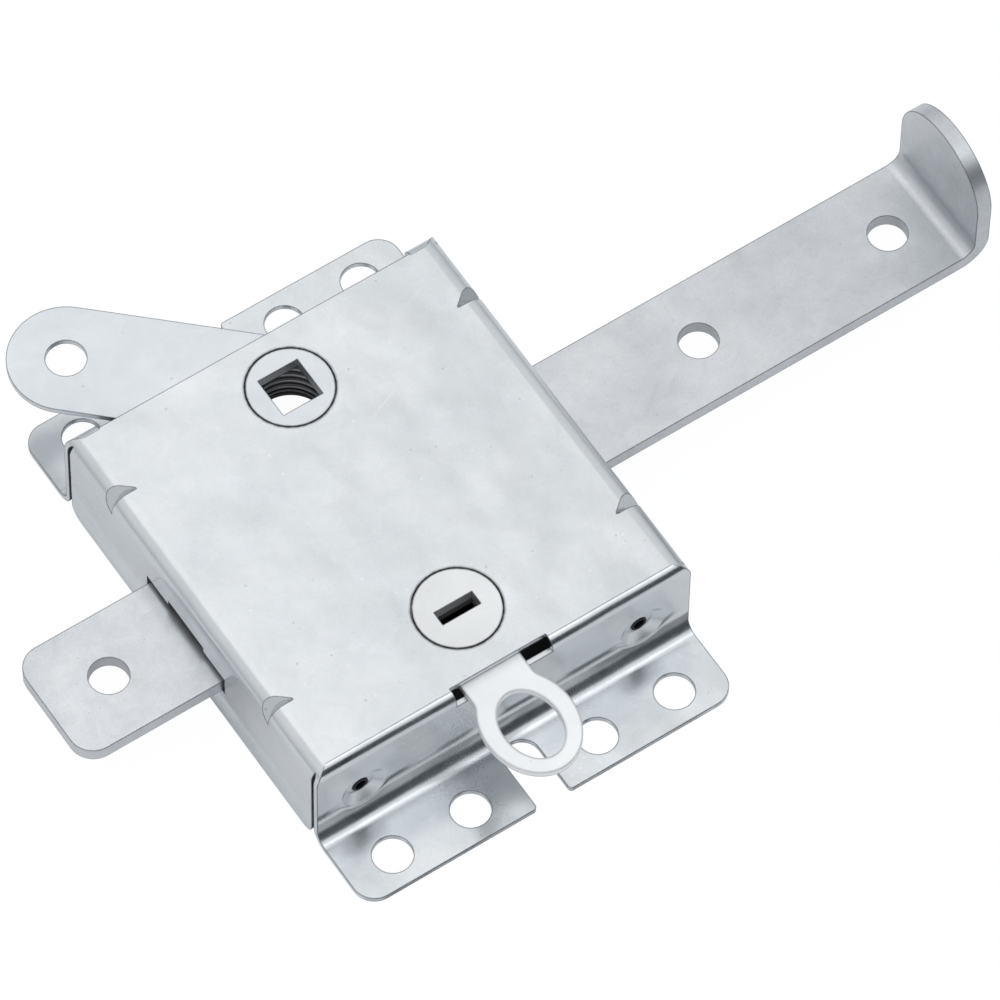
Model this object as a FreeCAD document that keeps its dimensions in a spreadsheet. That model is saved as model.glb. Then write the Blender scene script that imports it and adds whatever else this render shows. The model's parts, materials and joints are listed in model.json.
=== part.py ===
import FreeCAD, Part
import os
import re
import Sketcher
from FreeCAD import Rotation, Vector

# Slide lock for a sectional door. A folded steel case holds a flat bolt that slides along X,
# a spindle lever that drives the bolt, and a ring slider with a key cam that locks the bolt.
# X runs along the bolt towards its thumb tab, Y to the rear (the lever's side), Z out of the
# case. The origin is the centre of the four corner fixing holes, on the underside of the flanges.

# Driving sizes in millimetres and degrees: name, value, meaning.
SIZES = [
    ("sheet", 1.2, "thickness of the case and bracket steel"),
    ("slip", 0.15, "gap between flat faces that slide on each other"),
    ("pivot_play", 0.08, "radial play of a turning fit"),
    ("case_width", 83.6, "outside width of the case along X"),
    ("case_depth", 87.3, "outside depth of the case along Y"),
    ("case_height", 24.7, "outer face of the case above the underside of the flanges"),
    ("side_bend", 3.6, "outside radius of the bends over the side walls"),
    ("end_bend", 2.4, "outside radius of the bends over the front and rear walls"),
    ("flange_bend", 2.75, "radius of the hollow side of the bends into the flanges"),
    ("seam", 0.75, "open seam between a side wall and an end wall"),
    ("foot_corner", 3.0, "radius of the lower corners of the side walls"),
    ("flange_width", 17.0, "width of a flange beyond the end wall's face"),
    ("flange_corner", 4.6, "radius of the outer flange corners"),
    ("fixing_inset", 10.05, "outer fixing holes from the flange's ends"),
    ("fixing_inner_x", 28.6, "spacing of the inner fixing holes along X"),
    ("fixing_out", 10.3, "fixing holes from the end wall's face"),
    ("fixing_hole", 7.9, "diameter of the fixing holes"),
    ("notch_width", 7.3, "width of the notch in the middle of each flange"),
    ("notch_corner", 0.8, "radius of the corners at the notch's mouth"),
    ("notch_wall", 2.6, "from the end wall to the round end of the notch"),
    ("window_margin", 6.8, "lever window from the ends of the rear wall"),
    ("window_drop", 6.6, "lower edge of the lever window below the outer face"),
    ("plate_setback", 1.6, "free edge of the outer face behind the rear wall's face"),
    ("spindle_setback", 13.95, "spindle axis from the rear wall's face"),
    ("key_setback", 16.15, "key axis from the front wall's face"),
    ("hub_hole", 17.5, "diameter of both round holes in the outer face"),
    ("hub_disc", 17.1, "diameter of the two discs that turn in them"),
    ("square_hole", 8.9, "side of the square spindle hole"),
    ("key_slot_length", 8.5, "length of the key slot"),
    ("key_slot_width", 3.1, "width of the key slot"),
    ("ring_slot_width", 21.4, "width of the slot that the ring slider leaves by"),
    ("ring_slot_reach", 2.55, "how far that slot runs into the outer face"),
    ("ring_slot_drop", 3.05, "how far that slot runs down the front wall"),
    ("dart_setback", 16.65, "stiffening darts from the end walls' faces"),
    ("dart_leg", 5.6, "reach of a dart over the outer face"),
    ("dart_drop", 4.4, "reach of a dart down the side wall"),
    ("dart_slope", 36.0, "slope of a dart's rear ramp; its front is steep"),
    ("dimple_inset", 10.5, "staking dimples from the side walls' faces"),
    ("dimple_z", 11.1, "height of the staking dimples"),
    ("dimple_mouth", 5.1, "outer radius of a dimple"),
    ("dimple_floor", 3.1, "radius of a dimple's flat floor"),
    ("dimple_depth", 1.5, "depth of a dimple"),
    ("stake_drop", 1.1, "staked eyelets below the dimples' centres"),
    ("stake_outer", 3.4, "outside diameter of a staked eyelet"),
    ("stake_inner", 2.4, "hole through a staked eyelet"),
    ("bolt_width", 25.4, "width of the slide bolt"),
    ("bolt_steel", 3.2, "thickness of the slide bolt"),
    ("bolt_y", 1.5, "centre line of the slide bolt"),
    ("bolt_floor", 9.9, "underside of the slide bolt"),
    ("bolt_nose", 72.3, "nose of the drawn-back bolt from the origin, towards -X"),
    ("bolt_corner", 5.0, "radius of the nose corners"),
    ("bolt_hole", 7.9, "diameter of the three holes in the bolt"),
    ("nose_hole_x", 58.9, "nose hole from the origin, towards -X"),
    ("mid_hole_x", 74.4, "middle hole from the origin"),
    ("tail_hole_x", 118.2, "hole near the thumb tab from the origin"),
    ("tab_face_x", 129.6, "inner face of the thumb tab"),
    ("tab_top", 38.7, "top of the thumb tab above the flange underside"),
    ("tab_bend", 3.0, "inside radius of the bend below the thumb tab"),
    ("bolt_slot_side", 0.7, "room beside the bolt in the wall slots"),
    ("bolt_slot_below", 0.4, "room below the bolt in the wall slots"),
    ("bolt_slot_above", 1.6, "room above the bolt in the wall slots"),
    ("slot_relief_width", 12.0, "width of the raised middle of a wall slot"),
    ("slot_relief_rise", 1.4, "extra height of the raised middle of a wall slot"),
    ("lever_steel", 1.3, "thickness of the spindle lever"),
    ("lever_width", 22.8, "width of the lever's outer arm"),
    ("lever_reach", 43.1, "spindle axis to the hole in the lever"),
    ("lever_angle", 137.2, "direction of the outer arm at rest, from +X"),
    ("lever_hole", 7.9, "diameter of the hole in the lever"),
    ("throw_angle", 85.0, "how far the lever turns"),
    ("stud_inset", 2.2, "drive stud from the bolt's rear edge at both ends of the throw"),
    ("drive_arm_width", 11.0, "width of the lever's inner arm"),
    ("stud_diameter", 5.0, "diameter of the drive stud"),
    ("stud_tenon", 3.0, "diameter of the drive stud's riveted tenon"),
    ("stud_play", 0.95, "room on each side of the drive stud in the bolt's notch"),
    ("stop_inset", 7.8, "stop pin from the left wall's face"),
    ("stop_diameter", 4.0, "diameter of the stop pin"),
    ("slider_x", -1.7, "centre line of the ring slider"),
    ("slider_steel", 1.5, "thickness of the ring slider"),
    ("slider_travel", 5.6, "how far the ring slider moves in"),
    ("slider_body", 26.0, "width of the ring slider inside the case"),
    ("neck_width", 13.2, "width of the ring slider where it leaves the case"),
    ("ring_width", 18.4, "outside width of the oval pull ring"),
    ("ring_length", 22.9, "outside length of the oval pull ring"),
    ("ring_hole_length", 15.6, "length of the oval finger hole"),
    ("ring_side", 3.5, "rim of the pull ring at its sides"),
    ("ring_reach", 22.2, "outer end of the pull ring from the front wall's face"),
    ("ring_shoulder", 3.5, "radius between the neck and the ring"),
    ("ring_rim", 3.1, "rim of the pull ring at its outer end"),
    ("dog_width", 6.0, "width of the locking dog"),
    ("dog_steel", 1.8, "thickness of the locking dog along Y"),
    ("dog_gap", 0.7, "dog to the bolt's edge when unlocked"),
    ("dog_play", 0.6, "room on each side of the dog in its notches"),
    ("key_turn", 46.0, "how far the key cam turns"),
    ("cam_journal", 11.2, "diameter of the key cam's journal"),
    ("finger_width", 4.0, "width of the key cam's finger at its tip"),
    ("finger_neck", 2.6, "width of the key cam's finger at its root"),
    ("finger_play", 0.25, "room on each side of the finger in the slider"),
    ("back_floor", 1.5, "underside of the back plate"),
    ("back_key_hole", 15.0, "diameter of the back plate's hole below the key cam"),
    ("back_spindle_hole", 26.0, "width of the back plate's cut-out below the spindle"),
    ("ear_width", 10.0, "width of the back plate's upturned ears"),
    ("ear_top", 15.4, "top of the ears"),
    ("ear_root", 3.6, "depth of the back plate's cut-outs beside the ears"),
    ("ear_bend", 1.7, "outside radius of the bends below the ears"),
    ("spring_bore", 14.0, "inside diameter of the torsion spring"),
    ("spring_wire", 1.8, "wire diameter of the torsion spring"),
    ("spring_pitch", 2.0, "least rise of the torsion spring for each turn"),
    ("spring_leg_radius", 13.0, "spindle axis to the end of each spring leg"),
    ("post_height", 4.5, "height of the spring post above the hub bracket"),
    ("hub_bracket_rise", 7.6, "hub bracket above the back plate"),
    ("hub_bracket_width", 36.0, "width of the bracket below the spring"),
    ("hub_bracket_front", 10.6, "spindle axis to the front edge of that bracket"),
    ("hub_bracket_rear", 11.0, "spindle axis to the rear edge of that bracket"),
    ("bridge_width", 42.0, "width of the bridge below the ring slider"),
    ("bridge_front", 12.2, "key axis to the front edge of the bridge"),
    ("bridge_lip", 7.5, "depth of the lip bent down at the bridge's front edge"),
    ("bridge_rear", 12.9, "key axis to the rear edge of the bridge"),
    ("bracket_bend", 1.9, "outside radius of the brackets' upper bends"),
    ("foot_length", 6.5, "length of a bracket's foot"),
    ("foot_width", 8.0, "spacing of the two rivets in a foot from its middle, doubled"),
    ("rivet_shank", 3.0, "diameter of a rivet's shank"),
    ("rivet_head", 5.2, "diameter of a rivet's head"),
    ("rivet_crown", 3.5, "diameter of a rivet head's flat top"),
    ("rivet_rise", 0.9, "height of a rivet's head"),
    ("edge_break", 0.3, "rounding of the stamped edges"),
]

NAMES = {name for name, value, meaning in SIZES}

doc = FreeCAD.newDocument("slide_lock")
sheet = doc.addObject("Spreadsheet::Sheet", "sizes")
for row, (name, value, meaning) in enumerate(SIZES, start=1):
    sheet.set("A%d" % row, str(value))
    sheet.setAlias("A%d" % row, name)
    sheet.set("B%d" % row, meaning)
doc.recompute()


def bound(text):
    """The expression with each size's name tied to its cell."""
    return re.sub(r"[a-z_]+", lambda word: "sizes." + word[0] if word[0] in NAMES else word[0], text)


def value(text):
    """The number that an expression gives."""
    return float(sheet.evalExpression(bound(text)))


# Levels and places that follow from the sizes, as expressions.
PLATE_UNDER = "(case_height - sheet)"
LEVER_TOP = "(case_height - sheet - slip)"
LEVER_UNDER = "(case_height - sheet - slip - lever_steel)"
SLIDER_UNDER = "(case_height - sheet - slip - slider_steel)"
BRIDGE_TOP = "(case_height - sheet - 2 * slip - slider_steel)"
BOLT_TOP = "(bolt_floor + bolt_steel)"
BACK_TOP = "(back_floor + sheet)"
WALL_INSIDE_Y = "(case_depth / 2 - sheet)"
BOLT_FRONT = "(bolt_y - bolt_width / 2)"
BOLT_REAR = "(bolt_y + bolt_width / 2)"
SPINDLE_Y = "(case_depth / 2 - spindle_setback)"
KEY_Y = "(key_setback - case_depth / 2)"
DART_Y = "(case_depth / 2 - dart_setback)"
DIMPLE_X = "(case_width / 2 - dimple_inset)"
FLANGE_EDGE = "(case_depth / 2 + flange_width)"
FIXING_X = "(case_width / 2 - fixing_inset)"
FIXING_INNER_X = "(fixing_inner_x / 2)"
FIXING_Y = "(case_depth / 2 + fixing_out)"
NOTCH_END = "(case_depth / 2 + notch_wall + notch_width / 2)"
WINDOW_SILL = "(case_height - window_drop)"
RING_END_Y = "(-case_depth / 2 - ring_reach)"
WINDOW_WIDTH = "(case_width - 2 * window_margin)"
STOP_X = "(stop_inset - case_width / 2)"
STUD_Y = "(bolt_y + bolt_width / 2 - stud_inset)"
LEVER_END_X = "(lever_reach * cos(lever_angle))"
LEVER_END_Y = "(%s + lever_reach * sin(lever_angle))" % SPINDLE_Y
DRIVE_RADIUS = "((%s - %s) / cos(throw_angle / 2))" % (SPINDLE_Y, STUD_Y)
STUD_X = "(%s * sin(throw_angle / 2))" % DRIVE_RADIUS
STROKE = "(2 * %s)" % STUD_X
FINGER_RADIUS = "(slider_travel / 2 / sin(key_turn / 2))"
FINGER_X = "(slider_travel / 2 / tan(key_turn / 2))"
FINGER_Y = "(%s - slider_travel / 2)" % KEY_Y
DOG_REAR = "(bolt_y - bolt_width / 2 - dog_gap)"
HUB_BRACKET_TOP = "(back_floor + sheet + hub_bracket_rise)"
SPRING_RISE = "(case_height - sheet - lever_steel - 3 * slip - spring_wire - %s)" % HUB_BRACKET_TOP
SPRING_TURNS = "(floor(%s / spring_pitch - lever_angle / 360) + lever_angle / 360)" % SPRING_RISE


def tie(thing, prop, text):
    """Binds one property to an expression."""
    thing.setExpression(prop, bound(text))


def new_body(label):
    body = doc.addObject("PartDesign::Body", label)
    body.Label = label
    return body


def sketch_on(body, role, level="0"):
    """An empty sketch on one of the body's origin planes, moved along the plane's normal."""
    plane = [item for item in body.Origin.OriginFeatures if item.Role == role][0]
    sketch = body.newObject("Sketcher::SketchObject", body.Label + "_sketch")
    sketch.AttachmentSupport = [(plane, "")]
    sketch.MapMode = "FlatFace"
    tie(sketch, "AttachmentOffset.Base.z", level)
    return sketch


def dimension(sketch, kind, text, *where):
    """A named, bound dimension."""
    index = sketch.addConstraint(Sketcher.Constraint(kind, *where, value(text)))
    name = "size_%d" % index
    sketch.renameConstraint(index, name)
    tie(sketch, "Constraints." + name, text)


def place_point(sketch, geometry, end, x, y):
    """Fixes a point of the sketch by its distances from the sketch's origin."""
    dimension(sketch, "DistanceX", x, -1, 1, geometry, end)
    dimension(sketch, "DistanceY", y, -1, 1, geometry, end)


def outline(sketch, corners):
    """A closed outline through corners given as pairs of expressions."""
    spots = [Vector(value(x), value(y), 0) for x, y in corners]
    count = len(corners)
    first = sketch.GeometryCount
    for i in range(count):
        sketch.addGeometry(Part.LineSegment(spots[i], spots[(i + 1) % count]), False)
    for i in range(count):
        sketch.addConstraint(Sketcher.Constraint("Coincident", first + i, 2, first + (i + 1) % count, 1))
        place_point(sketch, first + i, 1, *corners[i])


def rectangle(sketch, left, right, low, high):
    outline(sketch, [(left, low), (right, low), (right, high), (left, high)])


def circle(sketch, x, y, diameter):
    spot = Vector(value(x), value(y), 0)
    index = sketch.addGeometry(Part.Circle(spot, Vector(0, 0, 1), value(diameter) / 2), False)
    place_point(sketch, index, 3, x, y)
    dimension(sketch, "Diameter", diameter, index)


def slot(sketch, x1, y1, x2, y2, radius):
    """A slot: two equal round ends joined by two tangent sides."""
    a = Vector(value(x1), value(y1), 0)
    b = Vector(value(x2), value(y2), 0)
    r = value(radius)
    along = (b - a).normalize()
    side = Vector(-along.y, along.x, 0) * r
    turn = along.getAngle(Vector(1, 0, 0)) * (1 if along.y >= 0 else -1)
    quarter = value("asin(1) / 1 deg") * 3.141592653589793 / 180
    axis = Vector(0, 0, 1)
    end_b = sketch.addGeometry(Part.ArcOfCircle(Part.Circle(b, axis, r), turn - quarter, turn + quarter), False)
    line_1 = sketch.addGeometry(Part.LineSegment(b + side, a + side), False)
    end_a = sketch.addGeometry(Part.ArcOfCircle(Part.Circle(a, axis, r), turn + quarter, turn + 3 * quarter), False)
    line_2 = sketch.addGeometry(Part.LineSegment(a - side, b - side), False)
    for one, other in ((end_b, line_1), (line_1, end_a), (end_a, line_2), (line_2, end_b)):
        sketch.addConstraint(Sketcher.Constraint("Tangent", one, 2, other, 1))
    place_point(sketch, end_a, 3, x1, y1)
    place_point(sketch, end_b, 3, x2, y2)
    dimension(sketch, "Radius", radius, end_a)


def pad(body, sketch, height, symmetric=False):
    feature = body.newObject("PartDesign::Pad", body.Label + "_pad")
    feature.Profile = sketch
    tie(feature, "Length", height)
    if symmetric:
        feature.SideType = "Symmetric"
    return settle(body, feature, grows=True)


def cut(body, sketch):
    """Cuts the sketch through everything, both ways."""
    feature = body.newObject("PartDesign::Pocket", body.Label + "_cut")
    feature.Profile = sketch
    feature.Type = "ThroughAll"
    feature.SideType = "Symmetric"
    return settle(body, feature, grows=False)


def settle(body, feature, grows):
    """Recomputes and makes sure that the feature changed the solid the right way."""
    before = feature.BaseFeature.Shape.Volume if feature.BaseFeature else 0.0
    doc.recompute()
    change = feature.Shape.Volume - before
    if (change > 0) != grows or abs(change) < 1e-3:
        raise RuntimeError("%s changes nothing" % feature.Label)
    return feature


def edges_near(feature, axis, spots, reach=0.2):
    """Names of the straight edges along an axis whose middles pass the given spots."""
    names = []
    for index, edge in enumerate(feature.Shape.Edges, start=1):
        if edge.Curve.TypeId != "Part::GeomLine" or edge.Length < 0.2:
            continue
        direction = edge.tangentAt(edge.FirstParameter)
        if abs(abs(direction.dot(axis)) - 1) > 1e-6:
            continue
        middle = edge.CenterOfMass
        for spot in spots:
            gap = middle - spot
            gap = gap - axis * gap.dot(axis)
            if gap.Length < reach:
                names.append("Edge%d" % index)
                break
    return names


def fillet(body, feature, axis, spots, radius):
    """Rounds the edges along an axis at spots given as triples of expressions."""
    points = [Vector(*[value(text) for text in spot]) for spot in spots]
    rounded = body.newObject("PartDesign::Fillet", body.Label + "_round")
    rounded.Base = (feature, edges_near(feature, axis, points))
    tie(rounded, "Radius", radius)
    doc.recompute()
    return rounded


ALONG_X = Vector(1, 0, 0)
ALONG_Y = Vector(0, 1, 0)
ALONG_Z = Vector(0, 0, 1)


def mirrored_spots(x, y, z="0"):
    """The four spots at plus and minus x and y."""
    return [(sx + x, sy + y, z) for sx in ("", "-") for sy in ("", "-")]


def box(label, x, y, z, length, width, height):
    """A block by its lowest corner and sides."""
    solid = doc.addObject("Part::Box", label)
    for prop, text in (("Length", length), ("Width", width), ("Height", height)):
        tie(solid, prop, text)
    for prop, text in (("x", x), ("y", y), ("z", z)):
        tie(solid, "Placement.Base." + prop, text)
    return solid


def round_bar(label, kind, x, y, z, turn, **lengths):
    """A cylinder or cone; its axis is +Z turned by the given rotation."""
    solid = doc.addObject("Part::" + kind, label)
    solid.Placement = FreeCAD.Placement(Vector(), turn)
    for prop, text in lengths.items():
        tie(solid, prop, text)
    for prop, text in (("x", x), ("y", y), ("z", z)):
        tie(solid, "Placement.Base." + prop, text)
    return solid


def fuse(label, shapes):
    joined = doc.addObject("Part::MultiFuse", label)
    joined.Shapes = shapes
    joined.Refine = True
    joined.Label = label
    return joined


def oval(label, x, y, level, half_width, half_length, thickness):
    """An upright oval plate, longer along Y, made from an ellipse."""
    rim = doc.addObject("Part::Ellipse", label + "_rim")
    rim.Placement = FreeCAD.Placement(Vector(), QUARTER_TURN)
    for prop, text in (("MajorRadius", half_length), ("MinorRadius", half_width), ("Placement.Base.x", x),
                       ("Placement.Base.y", y), ("Placement.Base.z", level)):
        tie(rim, prop, text)
    plate = doc.addObject("Part::Extrusion", label)
    plate.Base = rim
    plate.DirMode = "Custom"
    plate.Dir = ALONG_Z
    plate.Solid = True
    tie(plate, "LengthFwd", thickness)
    return plate


def subtract(label, base, tools):
    """Cuts one or several tools from a base."""
    tool = tools[0] if len(tools) == 1 else fuse(label + "_tools", tools)
    result = doc.addObject("Part::Cut", label)
    result.Base = base
    result.Tool = tool
    result.Refine = True
    result.Label = label
    return result


UPRIGHT = Rotation()
QUARTER_TURN = Rotation(Vector(0, 0, 1), 90)
TO_FRONT = Rotation(Vector(1, 0, 0), 90)
TO_REAR = Rotation(Vector(1, 0, 0), -90)


def folded_sheet():
    """The outer face, end walls and flanges bent from one strip, with both side walls."""
    body = new_body("folded_sheet")
    half = "case_depth / 2"
    hat = sketch_on(body, "YZ_Plane")
    outline(hat, [
        ("-" + FLANGE_EDGE, "0"),
        ("-" + half + " + sheet", "0"),
        ("-" + half + " + sheet", "case_height - sheet"),
        (half + " - sheet", "case_height - sheet"),
        (half + " - sheet", "0"),
        (FLANGE_EDGE, "0"),
        (FLANGE_EDGE, "sheet"),
        (half, "sheet"),
        (half, "case_height"),
        ("-" + half, "case_height"),
        ("-" + half, "sheet"),
        ("-" + FLANGE_EDGE, "sheet"),
    ])
    feature = pad(body, hat, "case_width", symmetric=True)
    outer_bends = [("0", sign + half, "case_height") for sign in ("", "-")]
    feature = fillet(body, feature, ALONG_X, outer_bends, "end_bend")
    inner_bends = [("0", sign + "(" + half + " - sheet)", "case_height - sheet") for sign in ("", "-")]
    feature = fillet(body, feature, ALONG_X, inner_bends, "end_bend - sheet")
    flange_roots = [("0", sign + half, "sheet") for sign in ("", "-")]
    feature = fillet(body, feature, ALONG_X, flange_roots, "flange_bend")
    flange_undersides = [("0", sign + "(" + half + " - sheet)", "0") for sign in ("", "-")]
    feature = fillet(body, feature, ALONG_X, flange_undersides, "flange_bend + sheet")
    corners = mirrored_spots("case_width / 2", FLANGE_EDGE)
    feature = fillet(body, feature, ALONG_Z, corners, "flange_corner")
    ways = sketch_on(body, "XY_Plane")
    for x in (FIXING_X, FIXING_INNER_X):
        for spot_x, spot_y, level in mirrored_spots(x, FIXING_Y):
            circle(ways, spot_x, spot_y, "fixing_hole")
    slot(ways, "0", NOTCH_END, "0", FLANGE_EDGE + " + notch_width", "notch_width / 2")
    slot(ways, "0", "-" + NOTCH_END, "0", "-" + FLANGE_EDGE + " - notch_width", "notch_width / 2")
    feature = cut(body, ways)
    mouths = mirrored_spots("notch_width / 2", FLANGE_EDGE)
    feature = fillet(body, feature, ALONG_Z, mouths, "notch_corner")
    return body


def side_walls():
    """The outer face bent down on the left and right, short of the end walls by a seam."""
    body = new_body("side_walls")
    half = "case_width / 2"
    cap = sketch_on(body, "XZ_Plane")
    outline(cap, [
        ("-" + half, "0"),
        ("-" + half + " + sheet", "0"),
        ("-" + half + " + sheet", "case_height - sheet"),
        (half + " - sheet", "case_height - sheet"),
        (half + " - sheet", "0"),
        (half, "0"),
        (half, "case_height"),
        ("-" + half, "case_height"),
    ])
    feature = pad(body, cap, "case_depth - 2 * sheet - 2 * seam", symmetric=True)
    outer = [(sign + half, "0", "case_height") for sign in ("", "-")]
    feature = fillet(body, feature, ALONG_Y, outer, "side_bend")
    inner = [(sign + "(" + half + " - sheet)", "0", "case_height - sheet") for sign in ("", "-")]
    feature = fillet(body, feature, ALONG_Y, inner, "side_bend - sheet")
    feet = [(sign + half, end + "(case_depth / 2 - sheet - seam)", "0") for sign in ("", "-") for end in ("", "-")]
    feature = fillet(body, feature, ALONG_X, feet, "foot_corner")
    slot_sketch = sketch_on(body, "YZ_Plane")
    low = "bolt_floor - bolt_slot_below"
    high = "bolt_floor + bolt_steel + bolt_slot_above"
    left = "bolt_y - bolt_width / 2 - bolt_slot_side"
    right = "bolt_y + bolt_width / 2 + bolt_slot_side"
    outline(slot_sketch, [
        (left, low),
        (right, low),
        (right, high),
        ("bolt_y + slot_relief_width / 2", high),
        ("bolt_y + slot_relief_width / 2", high + " + slot_relief_rise"),
        ("bolt_y - slot_relief_width / 2", high + " + slot_relief_rise"),
        ("bolt_y - slot_relief_width / 2", high),
        (left, high),
    ])
    cut(body, slot_sketch)
    return body


def case_envelope(label):
    """A block with the case's two rounded long edges, used to trim what follows them."""
    block = box(label + "_block", "-case_width / 2", "-" + FLANGE_EDGE, "0",
                "case_width", "2 * " + FLANGE_EDGE, "case_height")
    doc.recompute()
    rounded = doc.addObject("Part::Fillet", label)
    rounded.Base = block
    edges = []
    for name in edges_near(block, ALONG_Y, [Vector(value(sign + "case_width / 2"), 0, value("case_height"))
                                            for sign in ("", "-")]):
        edges.append((int(name[4:]), value("side_bend"), value("side_bend")))
    rounded.Edges = edges
    return rounded


def dart_wedge(label, sign, y, sink):
    """A wedge across a side bend, steep in front, ramped to the rear; sink moves its faces inwards."""
    outward = Vector(sign * value("dart_drop"), 0, value("dart_leg")).normalize()
    turn = Rotation(ALONG_Y, outward, ALONG_Y.cross(outward), "XYZ")
    wedge = doc.addObject("Part::Wedge", label)
    wedge.Placement = FreeCAD.Placement(Vector(), turn)
    tall = "(2 * dart_leg)"
    foot = "edge_break + %s * (sin(dart_slope) - (1 - cos(dart_slope)) / tan(dart_slope))" % sink
    head = "edge_break + %s * sin(dart_slope) + (%s + %s * cos(dart_slope)) / tan(dart_slope)" % (sink, tall, sink)
    sides = {"Xmax": foot, "X2max": head, "Ymax": tall, "Zmax": tall, "Z2max": tall}
    sides.update({"Zmin": "-" + tall, "Z2min": "-" + tall})
    sides.update({name: "-1 * " + sink for name in ("Xmin", "X2min", "Ymin")})
    for prop, text in sides.items():
        tie(wedge, prop, text)
    tie(wedge, "Placement.Base.x", "%d * (case_width / 2 - dart_leg / 2)" % sign)
    tie(wedge, "Placement.Base.y", y)
    tie(wedge, "Placement.Base.z", "case_height - dart_drop / 2")
    return wedge


def dimple(label, sign_x, sign_y, radius_gain, start):
    """The cone of one staking dimple in an end wall, narrowing towards the inside."""
    turn = TO_FRONT if sign_y > 0 else TO_REAR
    return round_bar(
        label, "Cone", "%d * %s" % (sign_x, DIMPLE_X), "%d * (%s)" % (sign_y, start), "dimple_z", turn,
        Radius1="dimple_mouth + %s" % radius_gain, Radius2="dimple_floor + %s" % radius_gain, Height="dimple_depth")


def case_shell():
    """The whole case: one folded sheet with its windows, slots, darts, dimples and holes."""
    skin = fuse("case_skin", [folded_sheet(), side_walls()])
    common = doc.addObject("Part::Common", "case_trimmed")
    common.Base = skin
    common.Tool = case_envelope("case_outline")
    added = [common]
    removed = []
    for sign_x in (1, -1):
        for sign_y in (1, -1):
            tag = "%d" % (2 + sign_x + (1 - sign_y) // 2)
            dart_place = "%d * %s" % (sign_y, DART_Y)
            fold = doc.addObject("Part::Common", "dart_fold_" + tag)
            fold.Base = dart_wedge("dart_under_" + tag, sign_x, dart_place, "sheet")
            fold.Tool = case_envelope("dart_outline_" + tag)
            added.append(fold)
            removed.append(dart_wedge("dart_over_" + tag, sign_x, dart_place, "0"))
            added.append(dimple("dimple_under_" + tag, sign_x, sign_y, "sheet / 2", "case_depth / 2 - sheet"))
            removed.append(dimple("dimple_over_" + tag, sign_x, sign_y, "0", "case_depth / 2"))
            turn = TO_FRONT if sign_y > 0 else TO_REAR
            removed.append(round_bar(
                "stake_way_" + tag, "Cylinder", "%d * %s" % (sign_x, DIMPLE_X), "%d * case_depth / 2" % sign_y,
                "dimple_z - stake_drop", turn, Radius="stake_outer / 2", Height="4 * sheet"))
    for y, label in ((SPINDLE_Y, "spindle_way"), (KEY_Y, "key_way")):
        removed.append(round_bar(label, "Cylinder", "0", y, "case_height / 2", UPRIGHT,
                                 Radius="hub_hole / 2", Height="case_height"))
    removed.append(box("lever_window", "-%s / 2" % WINDOW_WIDTH, "case_depth / 2 - end_bend - sheet", WINDOW_SILL,
                       WINDOW_WIDTH, "end_bend + 2 * sheet", "case_height"))
    removed.append(box("ring_slot", "-ring_slot_width / 2", "-case_depth / 2 - sheet", "case_height - ring_slot_drop",
                       "ring_slot_width", "ring_slot_reach + sheet", "ring_slot_drop + sheet"))
    body = subtract("case_cut", fuse("case_pressed", added), removed)
    lip = box("window_lip", "-%s / 2" % WINDOW_WIDTH, "case_depth / 2 - end_bend - sheet - slip", PLATE_UNDER,
              WINDOW_WIDTH, "end_bend + sheet + slip - plate_setback", "sheet")
    return fuse("case_shell", [body, lip])


def bracket_rivets(tag, spots):
    """One rivet through each spot of a bracket's feet and the back plate."""
    rivets = []
    for number, (x, y) in enumerate(spots, start=1):
        name = "%s_rivet_%d" % (tag, number)
        shank = round_bar(name + "_shank", "Cylinder", x, y, "back_floor", UPRIGHT,
                          Radius="rivet_shank / 2", Height="2 * sheet")
        upper = round_bar(name + "_upper", "Cone", x, y, "back_floor + 2 * sheet", UPRIGHT,
                          Radius1="rivet_head / 2", Radius2="rivet_crown / 2", Height="rivet_rise")
        lower = round_bar(name + "_lower", "Cone", x, y, "back_floor - rivet_rise", UPRIGHT,
                          Radius1="rivet_crown / 2", Radius2="rivet_head / 2", Height="rivet_rise")
        rivets.append(fuse(name, [shank, upper, lower]))
    return rivets


HUB_FOOT_X = "(hub_bracket_width / 2 + (foot_length + sheet) / 2)"
BRIDGE_FOOT_X = "(bridge_width / 2 + (foot_length + sheet) / 2)"
HUB_FOOT_Y = "(%s + (hub_bracket_rear - hub_bracket_front) / 2)" % SPINDLE_Y
BRIDGE_FOOT_Y = "(%s + (bridge_rear - bridge_front) / 2)" % KEY_Y


def foot_spots(foot_x, foot_y):
    """Two rivet places in each of a bracket's two feet."""
    spots = []
    for side in ("", "-"):
        for end in ("+", "-"):
            spots.append((side + foot_x, "%s %s foot_width / 2" % (foot_y, end)))
    return spots


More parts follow.
